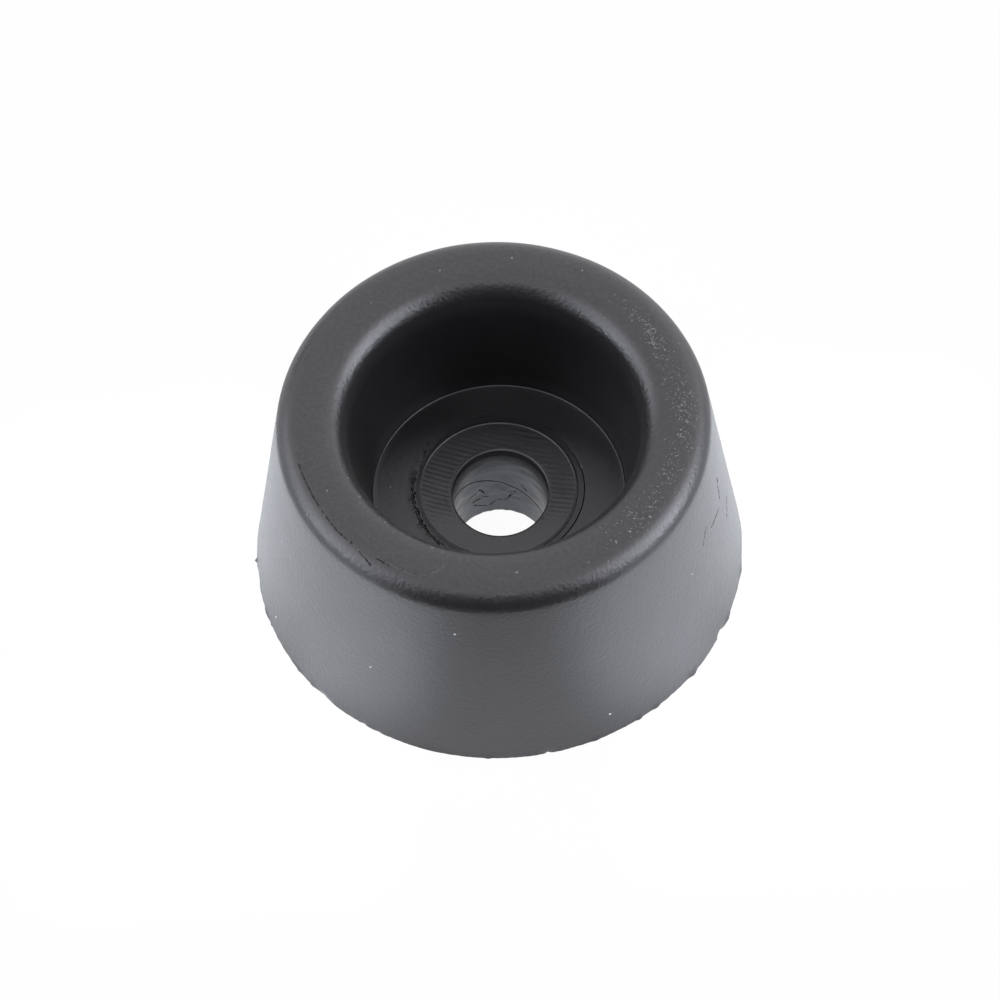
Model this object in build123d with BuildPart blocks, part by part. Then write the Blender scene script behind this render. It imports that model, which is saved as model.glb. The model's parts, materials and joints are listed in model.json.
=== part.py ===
# A screw-on rubber foot, moulded as one piece: a cone that stands on its wide mounting face,
# with a round recess in its narrow tread end for the head of the screw that holds it.
# Millimetres. +Z runs up the axis, from the mounting face at zero to the tread face.
import os

from build123d import *

os.makedirs("parts", exist_ok=True)

# Body
base_diameter = 30.0
top_diameter = 26.0  # across the sharp corner, before it is rounded
height = 15.5
outer_edge_radius = 1.7

# Recess, wider at its mouth than at its floor so that it leaves the mould
recess_mouth_diameter = 18.5  # across the sharp corner, before it is rounded
recess_floor_diameter = 15.4
floor_thickness = 6.45  # rubber left between the mounting face and the recess floor, at the wall
floor_dish = 0.25  # how far the floor falls from the wall to the foot of the seat
floor_edge_radius = 0.3
rim_radius = 1.7

# Seat, the low disc in the middle of the floor that the screw head or its washer presses on
seat_diameter = 9.4
seat_rise = 0.2  # over the floor at its foot
seat_slope_run = 0.4  # how far its sloping side runs out to the floor

# Screw hole
hole_diameter = 5.8

# How far a cut runs past the face that it opens
overrun = 1.0

# The two roundings share the width of the rim, so neither takes more than half of it
round_limit_share = 0.5
rim_width = (top_diameter - recess_mouth_diameter) / 2
outer_round = min(outer_edge_radius, rim_width * round_limit_share)
rim_round = min(rim_radius, rim_width * round_limit_share)

# Places that follow from the sizes above
seat_foot_height = floor_thickness - floor_dish
seat_height = seat_foot_height + seat_rise
seat_foot_diameter = seat_diameter + 2 * seat_slope_run
recess_depth = height - floor_thickness
recess_flare = (recess_mouth_diameter - recess_floor_diameter) / recess_depth
cut_diameter = recess_mouth_diameter + overrun * recess_flare

with BuildPart() as rubber_foot:
    # Solid cone, wide end down
    with BuildSketch(Plane.XZ):
        with BuildLine():
            Polyline(
                (0, 0),
                (base_diameter / 2, 0),
                (top_diameter / 2, height),
                (0, height),
                close=True,
            )
        make_face()
    revolve(axis=Axis.Z)

    # Recess, cut round the seat that stays standing in its floor
    with BuildSketch(Plane.XZ):
        with BuildLine():
            Polyline(
                (0, seat_height),
                (seat_diameter / 2, seat_height),
                (seat_foot_diameter / 2, seat_foot_height),
                (recess_floor_diameter / 2, floor_thickness),
                (cut_diameter / 2, height + overrun),
                (0, height + overrun),
                close=True,
            )
        make_face()
    revolve(axis=Axis.Z, mode=Mode.SUBTRACT)

    # Recess floor, rounded into the wall
    circles = edges().filter_by(GeomType.CIRCLE)
    floor_edge = circles.filter_by_position(Axis.Z, floor_thickness, floor_thickness)
    fillet(floor_edge, radius=floor_edge_radius)

    # Tread end: the rim is rounded into the recess and over to the side, with a flat land between
    tread_edges = edges().filter_by(GeomType.CIRCLE).group_by(Axis.Z)[-1].sort_by(SortBy.RADIUS)
    mouth_edge = tread_edges[0]
    outer_edge = tread_edges[-1]
    fillet(mouth_edge, radius=rim_round)
    fillet(outer_edge, radius=outer_round)

    # Screw hole, from the seat through the mounting face
    with Locations((0, 0, seat_height)):
        Hole(radius=hole_diameter / 2)

rubber_foot.part.label = "rubber_foot"
export_step(rubber_foot.part, "parts/rubber_foot.step")
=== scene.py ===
import json
import math
import random

import bmesh
import bpy
from mathutils import Matrix, Vector, noise
from mathutils.bvhtree import BVHTree


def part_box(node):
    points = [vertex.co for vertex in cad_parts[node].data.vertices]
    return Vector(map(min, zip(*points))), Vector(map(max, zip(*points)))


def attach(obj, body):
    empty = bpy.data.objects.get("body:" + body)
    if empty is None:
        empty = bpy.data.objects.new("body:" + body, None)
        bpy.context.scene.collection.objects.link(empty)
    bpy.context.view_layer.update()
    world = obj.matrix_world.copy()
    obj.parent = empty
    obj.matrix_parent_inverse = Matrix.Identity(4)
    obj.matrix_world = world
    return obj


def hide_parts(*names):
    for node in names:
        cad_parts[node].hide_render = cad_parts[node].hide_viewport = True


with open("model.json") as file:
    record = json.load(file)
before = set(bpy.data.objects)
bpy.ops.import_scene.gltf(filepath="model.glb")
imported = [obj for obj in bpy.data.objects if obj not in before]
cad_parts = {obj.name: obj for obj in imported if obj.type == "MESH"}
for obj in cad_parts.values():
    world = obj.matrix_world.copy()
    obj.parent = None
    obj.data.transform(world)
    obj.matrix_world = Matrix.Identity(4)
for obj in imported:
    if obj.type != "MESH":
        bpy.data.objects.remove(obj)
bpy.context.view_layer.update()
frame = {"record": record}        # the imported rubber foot, one body called root

mm = 0.001               # the dictionaries below are in millimetres, the meshes in metres
mounts = {mount["name"]: mount for mount in frame["record"]["mounts"]}
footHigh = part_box("rubber_foot")[1]
baseRadius = footHigh.x / mm
footHeight = footHigh.z / mm
seatHeight = mounts["head_seat"]["pos_m"][2] / mm
hair = 0.001             # millimetres, places nearer than this are the same
print("frame loaded, base radius", round(baseRadius, 2), "height", round(footHeight, 2))


# small helpers

def finishObject(name, bm, material):
    mesh = bpy.data.meshes.new(name)
    bm.to_mesh(mesh)
    bm.free()
    mesh.materials.append(material)
    mesh.shade_smooth()
    piece = bpy.data.objects.new(name, mesh)
    bpy.context.scene.collection.objects.link(piece)
    return piece


def frontAngle(x, y):
    return math.degrees(math.atan2(x, -y))        # 0 faces the camera, plus is to the right


def hump(value, centre, width):
    return math.exp(-((value - centre) / width) ** 2)


def ramp(low, high, value):
    share = min(max((value - low) / (high - low), 0.0), 1.0)
    return share * share * (3.0 - 2.0 * share)


def ringWave(azimuth, depth, detail, seed):
    turn = math.radians(azimuth)
    place = Vector((math.cos(turn) * detail, math.sin(turn) * detail, seed))
    return depth * noise.noise(place)


def turnGap(azimuth, middle):
    return (azimuth - middle + 180.0) % 360.0 - 180.0        # degrees, the short way round


def offsets(level, steps):
    return [level + step for step in steps]


# materials

def addNode(tree, kind, place, **values):
    node = tree.nodes.new(kind)
    node.location = place
    for name, value in values.items():
        setattr(node, name, value)
    return node


def feed(tree, socket, value):
    if isinstance(value, bpy.types.NodeSocket):
        tree.links.new(value, socket)
    else:
        socket.default_value = value


def addRange(tree, place, source, low, high, first=0.0, last=1.0, kind="LINEAR"):
    node = addNode(tree, "ShaderNodeMapRange", place, interpolation_type=kind)
    values = {"Value": source, "From Min": low, "From Max": high, "To Min": first, "To Max": last}
    for name, value in values.items():
        feed(tree, node.inputs[name], value)
    return node.outputs["Result"]


def addZone(tree, place, source, low, high, first=0.0, last=1.0):
    return addRange(tree, place, source, low * mm, high * mm, first, last, "SMOOTHSTEP")


def addMix(tree, place, kind, share, first, last):
    node = addNode(tree, "ShaderNodeMix", place, data_type=kind)
    slot = {"FLOAT": 0, "RGBA": 2}[kind]
    feed(tree, node.inputs["Factor"], share)
    feed(tree, node.inputs[2 + slot * 2], first)
    feed(tree, node.inputs[3 + slot * 2], last)
    return node.outputs[slot]


def addMath(tree, place, operation, first, second):
    node = addNode(tree, "ShaderNodeMath", place, operation=operation)
    feed(tree, node.inputs[0], first)
    feed(tree, node.inputs[1], second)
    return node.outputs[0]


def addNoise(tree, place, vector, scale, detail):
    node = addNode(tree, "ShaderNodeTexNoise", place)
    node.inputs["Scale"].default_value = scale
    node.inputs["Detail"].default_value = detail
    tree.links.new(vector, node.inputs["Vector"])
    return node.outputs["Fac"]


rubberLook = {
    "darkColor": (0.007, 0.007, 0.008, 1.0),
    "paleColor": (0.012, 0.012, 0.013, 1.0),
    # the recess takes a darker colour than the outside: painted shade of its walls and floor
    "recessShadeDark": (0.005, 0.005, 0.006, 1.0),
    "recessShadePale": (0.009, 0.009, 0.010, 1.0),
    "recessSheen": 0.026,
    "wornDark": (0.030, 0.029, 0.029, 1.0),      # the tread is scuffed to a matt grey
    "wornPale": (0.068, 0.065, 0.066, 1.0),
    "wornFade": (-0.42, -0.06),  # from the top: unworn up to the first height, fully worn from the second
    "wornRough": 0.62,
    "wornSpecular": 0.42,
    "specular": 1.0,             # carbon-filled rubber mirrors more than a plain plastic
    "specularTint": (0.96, 0.96, 1.0, 1.0),
    "sheen": 0.05,
    "recessSpecular": 0.83,      # the recess is duller and smoother, most of all on its wall
    "wallSpecular": 0.35,
    "mouthFade": (-0.5, -0.15),  # where the recess begins, from the corner of its mouth
    "wallFade": (0.3, 1.5),      # where its wall begins, above the seat
    "boreFade": (0.2, 0.4),      # where the bore ends, outside its undercut
    "recessGrain": 0.24,
    "sideGrain": 0.6,
    "rimGrain": 0.8,
    "rimFade": (-1.7, -0.6),     # where the rim begins, from the top
    "grainScale": 4000.0,        # one grain is about a quarter of a millimetre
    "grainDepth": 0.043,
    "grainDetail": 4.0,
    "mottleScale": 900.0,
    "roughLow": 0.30,
    "roughHigh": 0.41,
    "boreRough": (0.24, 0.44),   # the polished mould pins left fine streaks round the bore
    "lipFade": (-2.4, -0.3),     # the bore gets rougher up to its lip, between these heights
    "lipRough": 0.3,
    "streakScale": 2600.0,
    "streakShape": (0.25, 0.25, 1.0),
    "streakDetail": 5.0,
    "streakRange": (0.3, 0.7),
    "boreTint": (0.82, 0.85, 1.0, 1.0),
}


def makeRubber():
    look, sizes = rubberLook, footSizes
    material = bpy.data.materials.new("blackRubber")
    material.use_nodes = True
    tree = material.node_tree
    shader = tree.nodes["Principled BSDF"]

    coords = addNode(tree, "ShaderNodeTexCoord", (-1600, 0)).outputs["Object"]
    parts = addNode(tree, "ShaderNodeSeparateXYZ", (-1400, -450))
    flat = addNode(tree, "ShaderNodeVectorMath", (-1400, -650), operation="MULTIPLY")
    flat.inputs[1].default_value = (1.0, 1.0, 0.0)
    reach = addNode(tree, "ShaderNodeVectorMath", (-1200, -650), operation="LENGTH")
    tree.links.new(coords, parts.inputs[0])
    tree.links.new(coords, flat.inputs[0])
    tree.links.new(flat.outputs["Vector"], reach.inputs[0])
    radius, height = reach.outputs["Value"], parts.outputs["Z"]
    mottle = addNoise(tree, (-1200, 300), coords, look["mottleScale"], look["grainDetail"])
    grain = addNoise(tree, (-1200, 0), coords, look["grainScale"], look["grainDetail"])

    worn = addZone(tree, (-1000, -300), height, *offsets(footHeight, look["wornFade"]))
    outside = addZone(tree, (-1000, -550), radius, *offsets(sizes["mouthRadius"], look["mouthFade"]))
    walled = addZone(tree, (-1000, -1300), height, *offsets(seatHeight, look["wallFade"]))
    away = addZone(tree, (-1000, -800), radius, *offsets(sizes["notchRadius"], look["boreFade"]))
    above = addZone(tree, (-1000, -1050), height,
                    seatHeight - sizes["notchLow"], seatHeight - sizes["notchTop"])
    moulded = addMath(tree, (-800, -900), "MAXIMUM", away, above)        # 0 in the bore

    tone = addMix(tree, (-700, 400), "RGBA", mottle, look["darkColor"], look["paleColor"])
    scuffed = addMix(tree, (-700, 600), "RGBA", grain, look["wornDark"], look["wornPale"])
    # painted shade: the recess gets the darker colour above, with its own mottle
    shadedRecess = addMix(tree, (-900, 500), "RGBA", mottle, look["recessShadeDark"], look["recessShadePale"])
    tone = addMix(tree, (-550, 500), "RGBA", outside, shadedRecess, tone)
    tone = addMix(tree, (-450, 400), "RGBA", worn, tone, scuffed)
    tree.links.new(tone, shader.inputs["Base Color"])

    polished = addMix(tree, (-1100, 200), "FLOAT", moulded, look["specular"], look["recessSpecular"])
    polished = addMix(tree, (-900, 200), "FLOAT", walled, polished, look["wallSpecular"])
    skin = addMix(tree, (-700, 200), "FLOAT", outside, polished, look["specular"])
    skin = addMix(tree, (-450, 200), "FLOAT", worn, skin, look["wornSpecular"])
    tree.links.new(skin, shader.inputs["Specular IOR Level"])
    haze = addMix(tree, (-450, -450), "FLOAT", outside, look["recessSheen"], look["sheen"])
    tree.links.new(haze, shader.inputs["Sheen Weight"])
    tint = addMix(tree, (-450, 50), "RGBA", moulded, look["boreTint"], look["specularTint"])
    tree.links.new(tint, shader.inputs["Specular Tint"])

    polish = addRange(tree, (-900, 0), grain, 0.0, 1.0, look["roughLow"], look["roughHigh"])
    stretch = addNode(tree, "ShaderNodeVectorMath", (-1400, -150), operation="MULTIPLY")
    stretch.inputs[1].default_value = look["streakShape"]
    tree.links.new(coords, stretch.inputs[0])
    streak = addNoise(tree, (-1200, -300), stretch.outputs["Vector"],
                      look["streakScale"], look["streakDetail"])
    bored = addRange(tree, (-900, -150), streak, *look["streakRange"], *look["boreRough"])
    nearLip = addZone(tree, (-1000, -200), height, *offsets(seatHeight, look["lipFade"]),
                      0.0, look["lipRough"])
    bored = addMath(tree, (-800, -200), "ADD", bored, nearLip)
    rough = addMix(tree, (-700, 0), "FLOAT", moulded, bored, polish)
    rough = addMix(tree, (-450, -100), "FLOAT", worn, rough, look["wornRough"])
    tree.links.new(rough, shader.inputs["Roughness"])

    rim = addZone(tree, (-1000, -1550), height, *offsets(footHeight, look["rimFade"]),
                  look["sideGrain"], look["rimGrain"])
    depth = addMix(tree, (-500, -300), "FLOAT", outside, look["recessGrain"], rim)
    relief = addNode(tree, "ShaderNodeBump", (-250, -250))
    relief.inputs["Distance"].default_value = look["grainDepth"] * mm
    tree.links.new(depth, relief.inputs["Strength"])
    tree.links.new(grain, relief.inputs["Height"])
    tree.links.new(relief.outputs["Normal"], shader.inputs["Normal"])
    return material


speckLook = {                    # colour, share of it on the darkest specks, roughness
    "paleDust": ((0.29, 0.29, 0.285, 1.0), 0.2, 0.8),
    "greyScratch": ((0.14, 0.14, 0.145, 1.0), 0.6, 0.6),
    "whiteDust": ((0.75, 0.75, 0.74, 1.0), 0.6, 0.8),
    "tornRubber": ((0.018, 0.018, 0.019, 1.0), 0.5, 0.7),
}
speckMottle = 4000.0             # each speck has a tone of its own
speckDetail = 2.0


def makeSpeckMaterial(name):
    color, least, roughness = speckLook[name]
    material = bpy.data.materials.new(name)
    material.use_nodes = True
    tree = material.node_tree
    shader = tree.nodes["Principled BSDF"]
    shader.inputs["Roughness"].default_value = roughness
    coords = addNode(tree, "ShaderNodeTexCoord", (-900, 0)).outputs["Object"]
    mottle = addNoise(tree, (-700, 0), coords, speckMottle, speckDetail)
    darkest = [channel * least for channel in color[:3]] + [1.0]
    tone = addMix(tree, (-400, 0), "RGBA", mottle, darkest, color)
    tree.links.new(tone, shader.inputs["Base Color"])
    return material


# the moulded foot

footSizes = {
    "edgeInset": 0.15,           # trimmed base edge, inside the longest tag of flash
    "tagReach": 0.145,
    "topRadius": 13.0,           # to the sharp corner, before it is rounded
    "outerRound": 1.7,
    "mouthRadius": 9.25,
    "rimRound": 1.7,
    "floorRadius": 7.70,
    "floorRise": 0.22,           # the floor's outer edge stands this far over the seat
    "floorRound": 0.12,
    "creviceOuter": 5.22,        # the floor ends here, at the crevice round the seat
    "creviceRadius": 5.185,
    "creviceDepth": 0.14,
    "floorFoot": 0.12,           # the floor's inner edge stands this far over the lip of the hole
    "seatFoot": 5.15,            # the seat's sloping side starts here
    "seatRadius": 4.79,          # a fine bead of flash runs round the edge of the seat
    "beadHalf": 0.06,
    "beadRise": 0.05,
    "beadRound": 0.02,
    "seatDish": 0.14,            # the seat's edge stands this far over the lip of the hole
    "holeRadius": 2.93,
    "lipSlope": 0.10,            # the lip of the hole is broken by a fine slope
    "lipFall": 0.055,
    "notchTop": 0.10,            # the bore is undercut below the lip of the hole
    "notchRadius": 3.16,
    "notchFoot": 0.18,
    "notchLow": 0.55,
    "boreRadius": 2.92,
    "boreLine": 2.98,            # height of the fine line where the two mould pins met in the bore
    "boreLineHalf": 0.045,
    "boreLineDepth": 0.1,
    "edgeZone": 0.7,             # the height of the ragged strip above the base
    "lipZone": 0.3,              # the height of the uneven strip at the hole's lower mouth
    "roundSteps": 14,
    "smallSteps": 4,
    "sectors": 8,
    "sectorTurns": 64,
    "sharpAngle": 40.0,
    "slack": 0.02,               # rings this near to a size still count as lying on it
}

stretchSteps = {                 # how far apart the rings of the mesh lie on each stretch
    "underside": 1.6,
    "edge": 0.12,
    "cone": 0.65,
    "wall": 0.75,
    "floor": 0.25,
    "notch": 0.12,
    "seat": 0.06,
    "bore": 0.19,
    "lip": 0.1,
}


def roundCorner(bm, corner, radius, steps):
    before, after = [edge.other_vert(corner).co - corner.co for edge in corner.link_edges]
    turn = math.pi - before.angle(after)
    bmesh.ops.bevel(bm, geom=[corner], offset=radius * math.tan(turn / 2), offset_type="OFFSET",
                    affect="VERTICES", segments=steps, profile=0.5, material=-1)


def stretchName(radius, height):
    sizes = footSizes
    if height < hair:
        return "edge" if radius > baseRadius - sizes["edgeInset"] - sizes["edgeZone"] else "underside"
    if radius < sizes["boreRadius"] + hair:
        return "lip" if height < sizes["lipZone"] else "bore"
    if radius < sizes["creviceOuter"]:
        return "notch" if height < seatHeight - sizes["slack"] else "seat"
    if radius > sizes["topRadius"] - hair:
        return "edge" if height < sizes["edgeZone"] else "cone"
    return "wall" if height > seatHeight + sizes["floorRise"] else "floor"


def drawSection(bm):
    sizes = footSizes
    edgeRadius = baseRadius - sizes["edgeInset"]
    slope = (edgeRadius - sizes["topRadius"]) / footHeight
    edgeHeight = seatHeight + sizes["seatDish"]
    footLevel = seatHeight + sizes["floorFoot"]
    corners = {
        "lipTop": (sizes["boreRadius"], sizes["lipZone"]),
        "lipFoot": (sizes["boreRadius"], 0.0),
        "underside": (edgeRadius - sizes["edgeZone"], 0.0),
        "edge": (edgeRadius, 0.0),
        "edgeTop": (edgeRadius - slope * sizes["edgeZone"], sizes["edgeZone"]),
        "top": (sizes["topRadius"], footHeight),
        "mouth": (sizes["mouthRadius"], footHeight),
        "floor": (sizes["floorRadius"], seatHeight + sizes["floorRise"]),
        "creviceOuter": (sizes["creviceOuter"], footLevel),
        "crevice": (sizes["creviceRadius"], footLevel - sizes["creviceDepth"]),
        "seatFoot": (sizes["seatFoot"], footLevel),
        "beadOuter": (sizes["seatRadius"] + sizes["beadHalf"], edgeHeight),
        "bead": (sizes["seatRadius"], edgeHeight + sizes["beadRise"]),
        "beadInner": (sizes["seatRadius"] - sizes["beadHalf"], edgeHeight),
        "hole": (sizes["holeRadius"] + sizes["lipSlope"], seatHeight),
        "lip": (sizes["holeRadius"], seatHeight - sizes["lipFall"]),
        "notchTop": (sizes["holeRadius"], seatHeight - sizes["notchTop"]),
        "notch": (sizes["notchRadius"], seatHeight - sizes["notchTop"]),
        "notchFoot": (sizes["notchRadius"], seatHeight - sizes["notchFoot"]),
        "notchLow": (sizes["boreRadius"], seatHeight - sizes["notchLow"]),
        "lineTop": (sizes["boreRadius"], sizes["boreLine"] + sizes["boreLineHalf"]),
        "lineMiddle": (sizes["boreRadius"] + sizes["boreLineDepth"], sizes["boreLine"]),
        "lineLow": (sizes["boreRadius"], sizes["boreLine"] - sizes["boreLineHalf"]),
    }
    points = {name: bm.verts.new((r * mm, 0.0, z * mm)) for name, (r, z) in corners.items()}
    bm.faces.new(points.values())
    roundCorner(bm, points["top"], sizes["outerRound"] * mm, sizes["roundSteps"])
    roundCorner(bm, points["mouth"], sizes["rimRound"] * mm, sizes["roundSteps"])
    roundCorner(bm, points["floor"], sizes["floorRound"] * mm, sizes["smallSteps"])
    roundCorner(bm, points["bead"], sizes["beadRound"] * mm, sizes["smallSteps"])
    bmesh.ops.delete(bm, geom=bm.faces[:], context="FACES_ONLY")
    for edge in bm.edges[:]:
        middle = (edge.verts[0].co + edge.verts[1].co) / 2 / mm
        step = stretchSteps[stretchName(middle.x, middle.z)] * mm
        cuts = math.ceil(edge.calc_length() / step) - 1
        if cuts > 0:
            bmesh.ops.subdivide_edges(bm, edges=[edge], cuts=cuts)


edgeTags = (                     # what the trimming knife left at the base: azimuth, half width, reach
    (-90.0, 0.7, 0.16),
    (-85.5, 3.0, -0.10),
    (-75.0, 2.4, 0.10),
    (-71.8, 0.8, 0.05),
    (-57.5, 1.0, 0.05),
    (-52.3, 1.0, 0.07),
    (-48.5, 3.2, -0.10),
    (-36.0, 1.2, -0.06),
    (-32.0, 1.2, -0.06),
    (-5.0, 1.0, 0.05),
    (9.2, 0.9, -0.13),
    (21.0, 1.2, 0.07),
    (32.7, 1.0, 0.11),
    (37.7, 1.3, 0.10),
    (50.2, 1.6, 0.14),
    (63.2, 2.0, -0.22),
    (67.5, 2.0, 0.08),
    (81.0, 3.0, 0.06),
    (118.0, 1.4, 0.10),
    (141.0, 2.2, -0.12),
    (166.0, 1.0, 0.12),
    (-163.0, 2.6, -0.10),
    (-128.0, 1.2, 0.12),
)

footWear = {
    "edgeWave": (0.03, 9.0, 1.0),                # long and short waves of the trimmed edge:
    "edgeChip": (0.025, 55.0, 2.0),              # depth, detail, seed
    "edgeFull": 0.25,            # they are at their full depth in this share of the ragged strip
    "tagHeight": 0.22,           # how far a tag or nick runs up the side
    "lipRag": (0.03, 9.0, 4.0),                  # the hole's lower mouth is a little uneven, as above
    "lipHeight": 0.12,
    "shiftEnd": 13.5,            # the wall of the recess leans over to its floor, up to this height
    "lipOval": 0.13,             # the hole is stretched to the back by this much
    "boreFoot": (0.05, -0.08),   # where the hole comes out below, so it leans a little
    "lineTilt": -0.5,            # the line in the bore runs down to the right
    "lineReach": 2.6,
    "toolPitch": 0.33,           # straight marks of the mould cutter on the seat
    "toolTilt": 15.5,
    "toolDepth": 0.013,
    "toolNear": (-2.6, 0.2),     # they fade out towards the near side, down to this share
    "toolLeast": 0.25,
    "toolInner": (0.1, 0.35),    # and at the hole and the bead
    "toolOuter": (-0.15, 0.0),
    "toolWander": (0.12, 1.6),   # how far they wander, and over what length
    "toolUneven": (0.75, 0.6, 1.1, 9.0),         # mean depth, how far it varies, over what length, seed
    "tearCentre": 2.1,           # the torn patch below that line, on the far side of the bore
    "tearHeight": 0.7,
    "tearAngle": -170.0,
    "tearWidth": 40.0,
    "tearDepth": 0.07,
    "tearGrain": (0.05, 2.2, 0.02, 7.0),         # detail round and up the bore, slant, seed
    "tearCut": (3.0, 0.6),       # gain, and how much of it lies below the surface
    "farSide": (80.0, 130.0),    # the bead is higher on the far side of the seat, and lower by this elsewhere
    "beadFall": 0.7,
    "closedSide": (94.0, 108.0),                 # the crevice is closed on the far side
    "creviceZone": 0.2,          # all of it is above this depth under the seat
    "crumbDepth": 0.17,          # crumbs of flash in the crevice on the left of the seat
    "crumbAngle": -84.0,
    "crumbWidth": 42.0,
    "crumbZone": (0.1, 0.05, 0.12),              # how far they reach inwards, outwards and over the seat
    "crumbGrain": (0.45, 6.0, 3.0),              # detail round and across the crevice, seed
    "unevenDepth": 0.012,
    "unevenSize": 2.6,
}


middleShifts = (                 # the mould's core stood off centre: radius, shift to the right and back
    (3.3, 0.22, 0.13),
    (4.8, 0.09, 0.26),
    (5.2, 0.17, 0.28),
    (7.7, 0.13, 0.0),
)


def middleShift(radius):
    rows = middleShifts
    if radius <= rows[0][0]:
        return Vector((rows[0][1], rows[0][2], 0.0))
    for (start, x0, y0), (end, x1, y1) in zip(rows, rows[1:]):
        if radius <= end:
            share = (radius - start) / (end - start)
            return Vector((x0 + (x1 - x0) * share, y0 + (y1 - y0) * share, 0.0))
    return Vector((rows[-1][1], rows[-1][2], 0.0))


def edgeReach(azimuth):
    reach = ringWave(azimuth, *footWear["edgeWave"])
    reach += ringWave(azimuth, *footWear["edgeChip"])
    for place, width, height in edgeTags:
        gap = abs(turnGap(azimuth, place))
        reach += height * max(0.0, 1.0 - gap / width)
    return min(reach, footSizes["tagReach"])


def tearRelief(azimuth, height):
    wear = footWear
    gap = turnGap(azimuth, wear["tearAngle"])
    torn = hump(gap, 0.0, wear["tearWidth"]) * hump(height, wear["tearCentre"], wear["tearHeight"])
    turnDetail, riseDetail, slant, seed = wear["tearGrain"]
    swirl = noise.noise(Vector((gap * turnDetail, height * riseDetail + gap * slant, seed)))
    gain, cut = wear["tearCut"]
    return wear["tearDepth"] * torn * (abs(swirl) * gain - cut)


def toolMark(place, radius, toolEdge):
    wear = footWear
    tilt = math.radians(wear["toolTilt"])
    wander, wanderLength = wear["toolWander"]
    mean, swing, swingLength, seed = wear["toolUneven"]
    across = (place.x * math.sin(tilt) + place.y * math.cos(tilt)) / wear["toolPitch"]
    across += wander * noise.noise(place / wanderLength)
    strength = mean + swing * noise.noise(place / swingLength + Vector((0, 0, seed)))
    fade = ramp(*offsets(footSizes["holeRadius"], wear["toolInner"]), radius)
    fade *= 1.0 - ramp(*offsets(toolEdge, wear["toolOuter"]), radius)
    fade *= wear["toolLeast"] + (1.0 - wear["toolLeast"]) * ramp(*wear["toolNear"], place.y)
    return wear["toolDepth"] * strength * fade * math.sin(across * math.tau)


def coreShift(place, radius, out):
    wear, sizes = footWear, footSizes
    shift = middleShift(radius) * (1.0 - ramp(seatHeight, wear["shiftEnd"], place.z))
    if radius < sizes["notchRadius"] + sizes["slack"]:
        fall = 1.0 - min(place.z / seatHeight, 1.0)
        shift.y += wear["lipOval"] * out.y
        shift = shift.lerp(Vector((*wear["boreFoot"], 0.0)), fall)
        near = max(0.0, 1.0 - abs(place.z - sizes["boreLine"]) / wear["lineReach"])
        shift.z = wear["lineTilt"] * place.x * near
    return shift


def wearFoot(bm):
    wear, sizes = footWear, footSizes
    edgeRadius = baseRadius - sizes["edgeInset"]
    edgeStart = edgeRadius - sizes["edgeZone"]
    edgeFull = edgeRadius - sizes["edgeZone"] * wear["edgeFull"]
    boreReach = sizes["notchRadius"] + sizes["slack"]
    boreTop = seatHeight - sizes["notchLow"] + sizes["slack"] / 2
    beadFoot = seatHeight + sizes["seatDish"]
    footLevel = seatHeight + sizes["floorFoot"]
    toolEdge = sizes["seatRadius"] - sizes["beadHalf"]
    inward, outward, over = wear["crumbZone"]
    turnDetail, reachDetail, seed = wear["crumbGrain"]
    for vert in bm.verts:
        place = vert.co / mm
        x, y, z = place
        radius = math.hypot(x, y)
        azimuth = frontAngle(x, y)
        out = Vector((x, y, 0.0)) / radius
        move = vert.normal * wear["unevenDepth"] * noise.noise(place / wear["unevenSize"])
        if z < hair or z > footHeight - hair:
            move.z = 0.0
        if radius > edgeStart and z < sizes["edgeZone"]:
            move = out * edgeReach(azimuth) * hump(z, 0.0, wear["tagHeight"])
            move *= ramp(edgeStart, edgeFull, radius)
        if radius < boreReach and z < boreTop:
            move -= out * ringWave(azimuth, *wear["lipRag"]) * hump(z, 0.0, wear["lipHeight"])
            move += out * tearRelief(azimuth, z)
        if sizes["seatFoot"] < radius < sizes["creviceOuter"] and z > seatHeight - wear["creviceZone"]:
            move.z += (footLevel - z) * ramp(*wear["closedSide"], abs(azimuth))
        if abs(radius - sizes["seatRadius"]) < sizes["beadHalf"] / 2 and z > beadFoot:
            move.z -= wear["beadFall"] * (z - beadFoot) * (1.0 - ramp(*wear["farSide"], abs(azimuth)))
        if sizes["holeRadius"] < radius < toolEdge and z > seatHeight - sizes["slack"]:
            move.z += toolMark(place, radius, toolEdge)
        if sizes["seatFoot"] - inward < radius < sizes["creviceOuter"] + outward and z < seatHeight + over:
            crumb = hump(turnGap(azimuth, wear["crumbAngle"]), 0.0, wear["crumbWidth"])
            rag = noise.noise(Vector((azimuth * turnDetail, radius * reachDetail, seed)))
            move += Vector((out.x * rag, out.y * rag, abs(rag))) * wear["crumbDepth"] * crumb
        inRecess = radius < sizes["mouthRadius"] and hair < z < wear["shiftEnd"]
        if inRecess or radius < sizes["holeRadius"]:
            move += coreShift(place, radius, out)
        vert.co += move * mm


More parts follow.
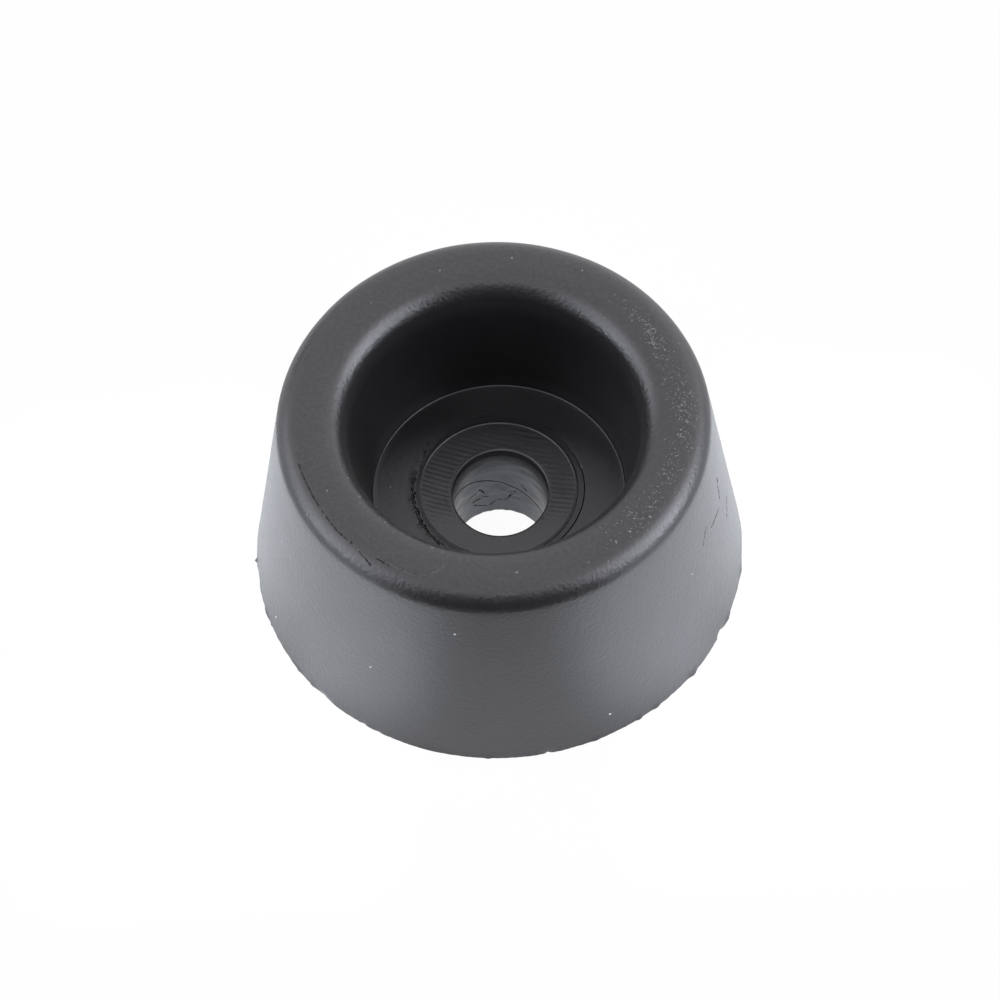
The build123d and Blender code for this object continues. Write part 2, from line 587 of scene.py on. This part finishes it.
def makeFoot():
    rubber = makeRubber()
    bm = bmesh.new()
    drawSection(bm)
    rings = len(bm.verts)
    sectors = footSizes["sectors"]
    bmesh.ops.spin(bm, geom=bm.verts[:] + bm.edges[:], cent=(0, 0, 0), axis=(0, 0, 1),
                   angle=math.tau / sectors, steps=footSizes["sectorTurns"])
    bmesh.ops.spin(bm, geom=bm.verts[:] + bm.edges[:] + bm.faces[:], cent=(0, 0, 0), axis=(0, 0, 1),
                   angle=math.tau * (sectors - 1) / sectors, steps=sectors - 1, use_duplicate=True)
    bmesh.ops.remove_doubles(bm, verts=bm.verts[:], dist=hair * mm)
    bmesh.ops.recalc_face_normals(bm, faces=bm.faces[:])
    bm.normal_update()
    wearFoot(bm)
    surface = BVHTree.FromBMesh(bm)
    print("foot section", rings, "points,", len(bm.faces) * 2, "triangles")
    foot = finishObject("foot_moulding", bm, rubber)
    foot.data.set_sharp_from_angle(angle=math.radians(footSizes["sharpAngle"]))
    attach(foot, "root")
    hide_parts("rubber_foot")
    return surface


footSurface = makeFoot()
print("foot made")


# dust, scratches and torn flecks, each laid on the finished surface of the foot

def topPoint(azimuth, radius):
    turn = math.radians(azimuth)
    start = Vector((math.sin(turn) * radius * mm, -math.cos(turn) * radius * mm, 2 * footHeight * mm))
    return footSurface.ray_cast(start, Vector((0, 0, -1)))[:2]        # place and normal


def sidePoint(azimuth, height):
    turn = math.radians(azimuth)
    away = Vector((math.sin(turn), -math.cos(turn), 0.0))
    start = away * 2 * baseRadius * mm + Vector((0, 0, height * mm))
    return footSurface.ray_cast(start, -away)[:2]


def borePoint(azimuth, height):
    turn = math.radians(azimuth)
    away = Vector((math.sin(turn), -math.cos(turn), 0.0))
    return footSurface.ray_cast(Vector((0, 0, height * mm)), away)[:2]


def addFlake(bm, place, normal, heading, length, width, thickness):
    along = heading - normal * heading.dot(normal)
    along.normalize()
    turn = Matrix((along, normal.cross(along), normal)).transposed().to_4x4()
    size = Matrix.Diagonal((length / 2 * mm, width / 2 * mm, thickness / 2 * mm, 1.0))
    whole = Matrix.Translation(place) @ turn @ size
    bmesh.ops.create_icosphere(bm, subdivisions=1, radius=1.0, matrix=whole)


def layPiece(name, bm, material):
    piece = finishObject(name, bm, material)
    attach(piece, "root")


dustPatches = (                  # azimuth, radius, spread in degrees, spread across, grains, curls
    (128.0, 11.2, 4.0, 0.30, 30, 0),
    (118.0, 11.1, 3.5, 0.25, 56, 5),
    (108.0, 11.1, 5.0, 0.40, 50, 1),
    (98.0, 11.2, 5.0, 0.45, 60, 1),
    (89.0, 11.6, 4.0, 0.40, 80, 2),
    (79.0, 11.6, 4.5, 0.45, 60, 1),
    (68.0, 11.6, 5.0, 0.50, 64, 1),
    (57.0, 11.4, 5.0, 0.50, 52, 1),
    (48.0, 11.3, 4.5, 0.50, 64, 1),
    (36.0, 11.4, 6.0, 0.55, 24, 0),
    (-60.0, 9.8, 14.0, 0.20, 12, 0),
    (-35.0, 9.9, 12.0, 0.20, 14, 0),
)

dustSpecks = (                   # the larger bright specks, one by one: azimuth, radius
    (124.0, 11.25), (114.3, 10.87), (111.1, 11.32), (112.0, 12.35), (94.9, 11.6), (93.4, 12.1), (92.6, 12.35),
    (84.5, 11.94), (81.7, 11.38), (76.4, 12.21), (75.0, 12.05), (72.3, 11.42), (69.0, 12.1), (65.0, 11.14),
    (57.5, 11.19), (55.5, 11.07), (52.6, 11.5), (50.0, 11.9), (46.6, 11.3), (46.0, 12.05), (42.3, 11.71),
    (36.9, 11.66), (133.8, 9.75), (118.8, 9.51), (101.2, 9.86), (-64.8, 11.26), (-67.2, 9.65), (-58.0, 9.7),
    (-47.0, 9.67), (-44.1, 9.75), (-33.2, 9.85), (-24.1, 9.89), (-20.2, 9.99), (-43.5, 12.31), (-57.4, 12.47),
    (-96.9, 6.52), (131.7, 11.17), (150.0, 11.6), (-140.0, 11.0), (-165.0, 10.9), (172.0, 11.3), (5.0, 11.2),
)

sideSpecks = (                   # specks on the side of the foot: azimuth, height
    (56.7, 8.5), (-12.5, 11.9), (-70.0, 1.5), (25.2, 1.9), (-35.0, 6.0), (-72.0, 9.0), (96.0, 5.0),
    (150.0, 7.0), (-150.0, 4.0), (-118.0, 10.0),
)

dustSizes = {
    "seed": 11,
    "grain": (0.035, 0.09),
    "speck": (0.08, 0.16),
    "sideSpeck": (0.12, 0.19),
    "curlPieces": 6,
    "curlRadius": (0.10, 0.20),
    "curlWidth": 0.07,
    "thickness": 0.03,
    "curlSweep": (1.5, 4.5),     # radians
    "curlOverlap": 1.3,
    "grainStretch": (1.0, 2.0),
    "speckStretch": (1.0, 1.7),
    "headingRise": 0.3,
}


def anyHeading(dice):
    rise = dustSizes["headingRise"]
    return Vector((dice.uniform(-1, 1), dice.uniform(-1, 1), dice.uniform(-rise, rise)))


def addSpeck(bm, place, normal, size, stretch, dice):
    heading = anyHeading(dice)
    addFlake(bm, place, normal, heading, size * dice.uniform(*stretch), size, dustSizes["thickness"])


def addCurl(bm, azimuth, radius, dice):
    sizes = dustSizes
    middle, normal = topPoint(azimuth, radius)
    reach = dice.uniform(*sizes["curlRadius"])
    first = dice.uniform(0, math.tau)
    sweep = dice.uniform(*sizes["curlSweep"])
    for piece in range(sizes["curlPieces"]):
        angle = first + sweep * piece / sizes["curlPieces"]
        place = middle + Vector((math.cos(angle), math.sin(angle), 0.0)) * reach * mm
        place, normal = topPoint(frontAngle(place.x, place.y), math.hypot(place.x, place.y) / mm)
        heading = Vector((-math.sin(angle), math.cos(angle), 0.0))
        length = reach * sweep / sizes["curlPieces"] * sizes["curlOverlap"]
        addFlake(bm, place, normal, heading, length, sizes["curlWidth"], sizes["thickness"])


def makeDust():
    sizes = dustSizes
    dice = random.Random(sizes["seed"])
    bm = bmesh.new()
    for azimuth, radius, spread, across, grains, curls in dustPatches:
        for grain in range(grains):
            place, normal = topPoint(azimuth + dice.gauss(0, spread), radius + dice.gauss(0, across))
            size = dice.uniform(*sizes["grain"])
            addSpeck(bm, place, normal, size, sizes["grainStretch"], dice)
        for curl in range(curls):
            addCurl(bm, azimuth + dice.gauss(0, spread), radius + dice.gauss(0, across), dice)
    for spot in dustSpecks:
        place, normal = topPoint(*spot)
        size = dice.uniform(*sizes["speck"])
        addSpeck(bm, place, normal, size, sizes["speckStretch"], dice)
    print("dust", len(bm.faces), "faces")
    layPiece("dust_specks", bm, makeSpeckMaterial("paleDust"))
    side = bmesh.new()
    for spot in sideSpecks:
        place, normal = sidePoint(*spot)
        size = dice.uniform(*sizes["sideSpeck"])
        addSpeck(side, place, normal, size, sizes["speckStretch"], dice)
    layPiece("side_specks", side, makeSpeckMaterial("whiteDust"))


scuffTrails = (                  # dark torn flecks along the outer edge of the land: azimuth, radius
    ((-77.0, 12.13), (-68.8, 12.13), (-61.2, 12.16)),
    ((-60.0, 12.17), (-52.2, 12.26), (-46.2, 12.22)),
    ((-44.0, 12.3), (-37.8, 12.6)),
    ((-37.4, 12.13), (-33.0, 12.15)),
)

scratchTrails = (                # light scratches and a thin fibre beside them
    ((-38.0, 12.05), (-30.2, 12.08), (-24.4, 12.12)),
    ((-22.1, 11.92), (-19.5, 11.5), (-18.2, 11.04), (-17.8, 10.7)),
)

sideTrails = (                   # dark slanting flecks on the right of the side: azimuth, height
    ((80.1, 10.9), (78.5, 9.2)),
    ((76.0, 9.0), (72.5, 9.1), (69.9, 9.3)),
    ((67.0, 10.2), (63.5, 9.2)),
    ((84.0, 7.2), (80.0, 6.4)),
)

creviceTrails = (                # dark crumbs in the crevice on the left of the seat: azimuth, radius
    ((-104.0, 5.20), (-96.0, 5.15), (-86.0, 5.10), (-74.0, 5.05), (-60.0, 5.0), (-47.0, 4.97)),
)

boreTrails = (                   # dark scribbles on the far side of the bore: azimuth, height
    ((-142.0, 2.3), (-151.0, 2.35), (-159.0, 2.6), (-164.0, 2.2)),
    ((-147.5, 1.6), (-156.0, 1.6), (-162.5, 1.75), (-169.5, 1.6)),
    ((-148.5, 1.3), (-159.0, 0.85), (-169.5, 0.6), (-175.0, 0.9), (-183.0, 1.1)),
    ((177.0, 1.1), (168.0, 1.15), (163.0, 1.65), (157.5, 2.15)),
    ((150.0, 3.0), (143.0, 2.6)),
)

trailSizes = {
    "seed": 5,
    "width": 0.13,
    "scratchWidth": 0.045,
    "crumbWidth": 0.15,
    "scribbleWidth": 0.12,
    "thickness": 0.02,
    "wobble": 0.25,
    "spacing": 0.25,
    "scatter": (0.2, 0.8),       # where a fleck lies in its share of the trail
    "length": (0.2, 0.5),
    "widthShare": (0.6, 1.3),
}


def addTrail(bm, points, pointOn, width, dice):
    sizes = trailSizes
    for (startA, startB), (endA, endB) in zip(points, points[1:]):
        first = pointOn(startA, startB)[0]
        last = pointOn(endA, endB)[0]
        pieces = max(1, round((last - first).length / mm / sizes["spacing"]))
        for piece in range(pieces):
            share = (piece + dice.uniform(*sizes["scatter"])) / pieces
            place, normal = pointOn(startA + (endA - startA) * share + dice.gauss(0, sizes["wobble"]),
                                    startB + (endB - startB) * share)
            length = dice.uniform(*sizes["length"])
            breadth = width * dice.uniform(*sizes["widthShare"])
            addFlake(bm, place, normal, last - first, length, breadth, sizes["thickness"])


def makeMarks():
    sizes = trailSizes
    dice = random.Random(sizes["seed"])
    darkRows = (
        (scuffTrails, topPoint, sizes["width"]),
        (sideTrails, sidePoint, sizes["width"]),
        (creviceTrails, topPoint, sizes["crumbWidth"]),
        (boreTrails, borePoint, sizes["scribbleWidth"]),
    )
    dark = bmesh.new()
    for trails, pointOn, width in darkRows:
        for trail in trails:
            addTrail(dark, trail, pointOn, width, dice)
    layPiece("torn_flecks", dark, makeSpeckMaterial("tornRubber"))
    light = bmesh.new()
    for trail in scratchTrails:
        addTrail(light, trail, topPoint, sizes["scratchWidth"], dice)
    layPiece("light_scratches", light, makeSpeckMaterial("greyScratch"))


makeDust()
makeMarks()
print("dust and marks made")


# floor, light and camera

stageLook = {
    "floorSize": 3.0,            # metres, wide enough to fill every view
    "floorGap": 0.03,            # it lies this far below the foot's underside
    "floorTone": 0.95,           # beside the foot
    "farTone": 0.66,             # and farther out: painted shade, as if the paper lay in less light
    "whiteShare": 0.96,          # how much of the floor's look is plain white, the rest shows the shadow
    "mirrorShare": 0.29,         # the same in the rubber's sheen, on the open floor beside the foot
    "farShare": 0.0,             # and farther out
    "whiteRadius": 11.0,         # under the foot the sheen sees plain white, as the camera does
    "openRadius": 14.5,
    "farRadius": 28.0,
}


def makeFloor():
    look = stageLook
    material = bpy.data.materials.new("paleFloor")
    material.use_nodes = True
    tree = material.node_tree
    tree.nodes.clear()
    paths = addNode(tree, "ShaderNodeLightPath", (-900, 300))
    coords = addNode(tree, "ShaderNodeTexCoord", (-1100, 0))
    reach = addNode(tree, "ShaderNodeVectorMath", (-900, 0), operation="LENGTH")
    tree.links.new(coords.outputs["Object"], reach.inputs[0])
    radius = reach.outputs["Value"]
    outer = look["openRadius"] * mm, look["farRadius"] * mm

    farther = addRange(tree, (-900, -250), radius, *outer, look["mirrorShare"], look["farShare"])
    fade = addZone(tree, (-700, 0), radius, look["whiteRadius"], look["openRadius"],
                   look["whiteShare"], farther)
    glossOrGlass = addMath(tree, (-700, 250), "MAXIMUM",
                           paths.outputs["Is Glossy Ray"], paths.outputs["Is Transmission Ray"])
    mirrored = addMath(tree, (-500, 150), "MULTIPLY", glossOrGlass, fade)
    seen = addMath(tree, (-500, 350), "MULTIPLY", paths.outputs["Is Camera Ray"], look["whiteShare"])
    share = addMath(tree, (-250, 300), "MAXIMUM", mirrored, seen)

    # painted shade: the floor's colour darkens outward from the foot
    tone = addRange(tree, (-500, -250), radius, *outer, look["floorTone"], look["farTone"])
    matt = addNode(tree, "ShaderNodeBsdfDiffuse", (-250, 100))
    white = addNode(tree, "ShaderNodeEmission", (-250, -50))
    mix = addNode(tree, "ShaderNodeMixShader", (0, 100))
    out = addNode(tree, "ShaderNodeOutputMaterial", (200, 100))
    tree.links.new(tone, matt.inputs["Color"])
    tree.links.new(share, mix.inputs[0])
    tree.links.new(matt.outputs[0], mix.inputs[1])
    tree.links.new(white.outputs[0], mix.inputs[2])
    tree.links.new(mix.outputs[0], out.inputs["Surface"])
    bm = bmesh.new()
    bmesh.ops.create_grid(bm, x_segments=1, y_segments=1, size=look["floorSize"],
                          matrix=Matrix.Translation((0.0, 0.0, -look["floorGap"] * mm)))
    floor = finishObject("floor", bm, material)


domePanels = (                   # azimuth, elevation, full and last angle off its middle, strength, colour
    (-80.0, 0.0, 5.0, 20.0, 4.2, (0.94, 0.99, 1.06)),
    (80.0, 0.0, 8.0, 21.0, 5.0, (0.94, 0.99, 1.06)),
    (122.0, 8.0, 8.0, 26.0, 1.6, (0.98, 0.99, 1.04)),
    (-90.0, 27.0, 33.0, 50.0, 2.0, (0.98, 0.99, 1.04)),
    (74.5, 25.0, 29.0, 36.0, 3.1, (0.98, 0.99, 1.04)),
    (169.0, 30.0, 31.0, 39.0, 1.45, (1.0, 0.99, 1.0)),
    (0.0, 65.0, 6.0, 30.0, 1.8, (1.0, 0.99, 1.0)),
    (0.0, 32.0, 8.0, 40.0, 0.12, (1.0, 0.99, 1.0)),
)


def skyward(azimuth, elevation):
    turn, rise = math.radians(azimuth), math.radians(elevation)
    return Vector((math.sin(turn) * math.cos(rise), -math.cos(turn) * math.cos(rise), math.sin(rise)))


def makeDome():
    world = bpy.data.worlds.new("studioDome")
    bpy.context.scene.world = world
    world.use_nodes = True
    tree = world.node_tree
    coords = addNode(tree, "ShaderNodeTexCoord", (-1200, 0))
    total = None
    for row, (azimuth, elevation, inner, outer, strength, color) in enumerate(domePanels):
        facing = addNode(tree, "ShaderNodeVectorMath", (-1000, -220 * row), operation="DOT_PRODUCT")
        facing.inputs[1].default_value = skyward(azimuth, elevation)
        angle = addNode(tree, "ShaderNodeMath", (-800, -220 * row), operation="ARCCOSINE")
        tint = addNode(tree, "ShaderNodeVectorMath", (-400, -220 * row), operation="MULTIPLY_ADD")
        tint.inputs[0].default_value = color
        tree.links.new(coords.outputs["Generated"], facing.inputs[0])
        tree.links.new(facing.outputs["Value"], angle.inputs[0])
        level = addRange(tree, (-600, -220 * row), angle.outputs[0],
                         math.radians(inner), math.radians(outer), strength, 0.0, "SMOOTHSTEP")
        tree.links.new(level, tint.inputs[1])
        if total:
            tree.links.new(total, tint.inputs[2])
        total = tint.outputs["Vector"]
    tree.links.new(total, tree.nodes["Background"].inputs["Color"])


softboxes = (                    # low over the floor on each side of the foot: x, y, width, length, power
    (21.8, -6.0, 14.4, 34.0, 0.00207),
    (11.7, -17.4, 5.8, 11.2, 0.00029),
    (13.1, -10.2, 3.0, 3.2, 0.000075),
)

softboxLook = {
    "height": 6.0,               # clear of the cone, and too low to light the tread and the recess
    "spread": 80.0,
    "color": (0.90, 0.97, 1.06),
}


def makeSoftboxes():
    look = softboxLook
    for x, y, width, length, power in softboxes:
        for side in (-1, 1):
            lamp = bpy.data.lights.new("softbox", "AREA")
            lamp.shape = "RECTANGLE"
            lamp.size = width * mm
            lamp.size_y = length * mm
            lamp.spread = math.radians(look["spread"])
            lamp.energy = power
            lamp.color = look["color"]
            softbox = bpy.data.objects.new("softbox", lamp)
            softbox.location = (side * x * mm, y * mm, look["height"] * mm)
            softbox.visible_camera = False
            softbox.visible_glossy = False
            bpy.context.scene.collection.objects.link(softbox)


cardLook = {                     # the black card in front, seen only in the rubber's sheen
    "distance": 33.0,
    "width": 56.0,
    "height": 24.0,
    "color": (0.01, 0.01, 0.01, 1.0),
    "roughness": 0.9,
}


def makeCard():
    look = cardLook
    material = bpy.data.materials.new("blackCard")
    material.use_nodes = True
    shader = material.node_tree.nodes["Principled BSDF"]
    shader.inputs["Base Color"].default_value = look["color"]
    shader.inputs["Roughness"].default_value = look["roughness"]
    bm = bmesh.new()
    size = Matrix.Diagonal((look["width"] / 2 * mm, look["height"] / 2 * mm, 1.0, 1.0))
    upright = Matrix.Rotation(math.radians(90), 4, "X")
    place = Matrix.Translation((0.0, -look["distance"] * mm, look["height"] / 2 * mm))
    bmesh.ops.create_grid(bm, x_segments=1, y_segments=1, size=1.0, matrix=place @ upright @ size)
    card = finishObject("black_card", bm, material)
    card.visible_camera = False
    card.visible_diffuse = False
    card.visible_shadow = False


cameraLook = {
    "elevation": 58.365,         # degrees above the floor
    "roll": -2.665,
    "distance": 891.0,
    "focalPixels": 14669.0,      # for the 1000 pixel frame
    "imageWidth": 1000.0,
    "sensor": 36.0,
    "centreOffset": (-3.696, -17.238),   # pixels from the frame's middle to the foot's middle
}


def makeCamera():
    look = cameraLook
    elevation = math.radians(look["elevation"])
    roll = math.radians(look["roll"])
    back = Vector((0.0, -math.cos(elevation), math.sin(elevation)))
    side = Vector((1.0, 0.0, 0.0))
    top = back.cross(side)
    right = side * math.cos(roll) + top * math.sin(roll)
    up = top * math.cos(roll) - side * math.sin(roll)
    pixel = look["distance"] * mm / look["focalPixels"]        # size of a pixel at the foot
    middle = Vector((0.0, 0.0, footHeight * mm / 2))
    offsetX, offsetY = look["centreOffset"]
    place = middle + back * look["distance"] * mm - right * offsetX * pixel + up * offsetY * pixel
    lens = bpy.data.cameras.new("photoCamera")
    lens.sensor_width = look["sensor"]
    lens.lens = look["focalPixels"] / look["imageWidth"] * look["sensor"]
    camera = bpy.data.objects.new("photoCamera", lens)
    bpy.context.scene.collection.objects.link(camera)
    turn = Matrix((right, up, back)).transposed().to_4x4()
    camera.matrix_world = Matrix.Translation(place) @ turn
    bpy.context.scene.camera = camera


makeFloor()
makeDome()
makeSoftboxes()
makeCard()
makeCamera()
bpy.context.scene.view_settings.view_transform = "Standard"
print("stage made")
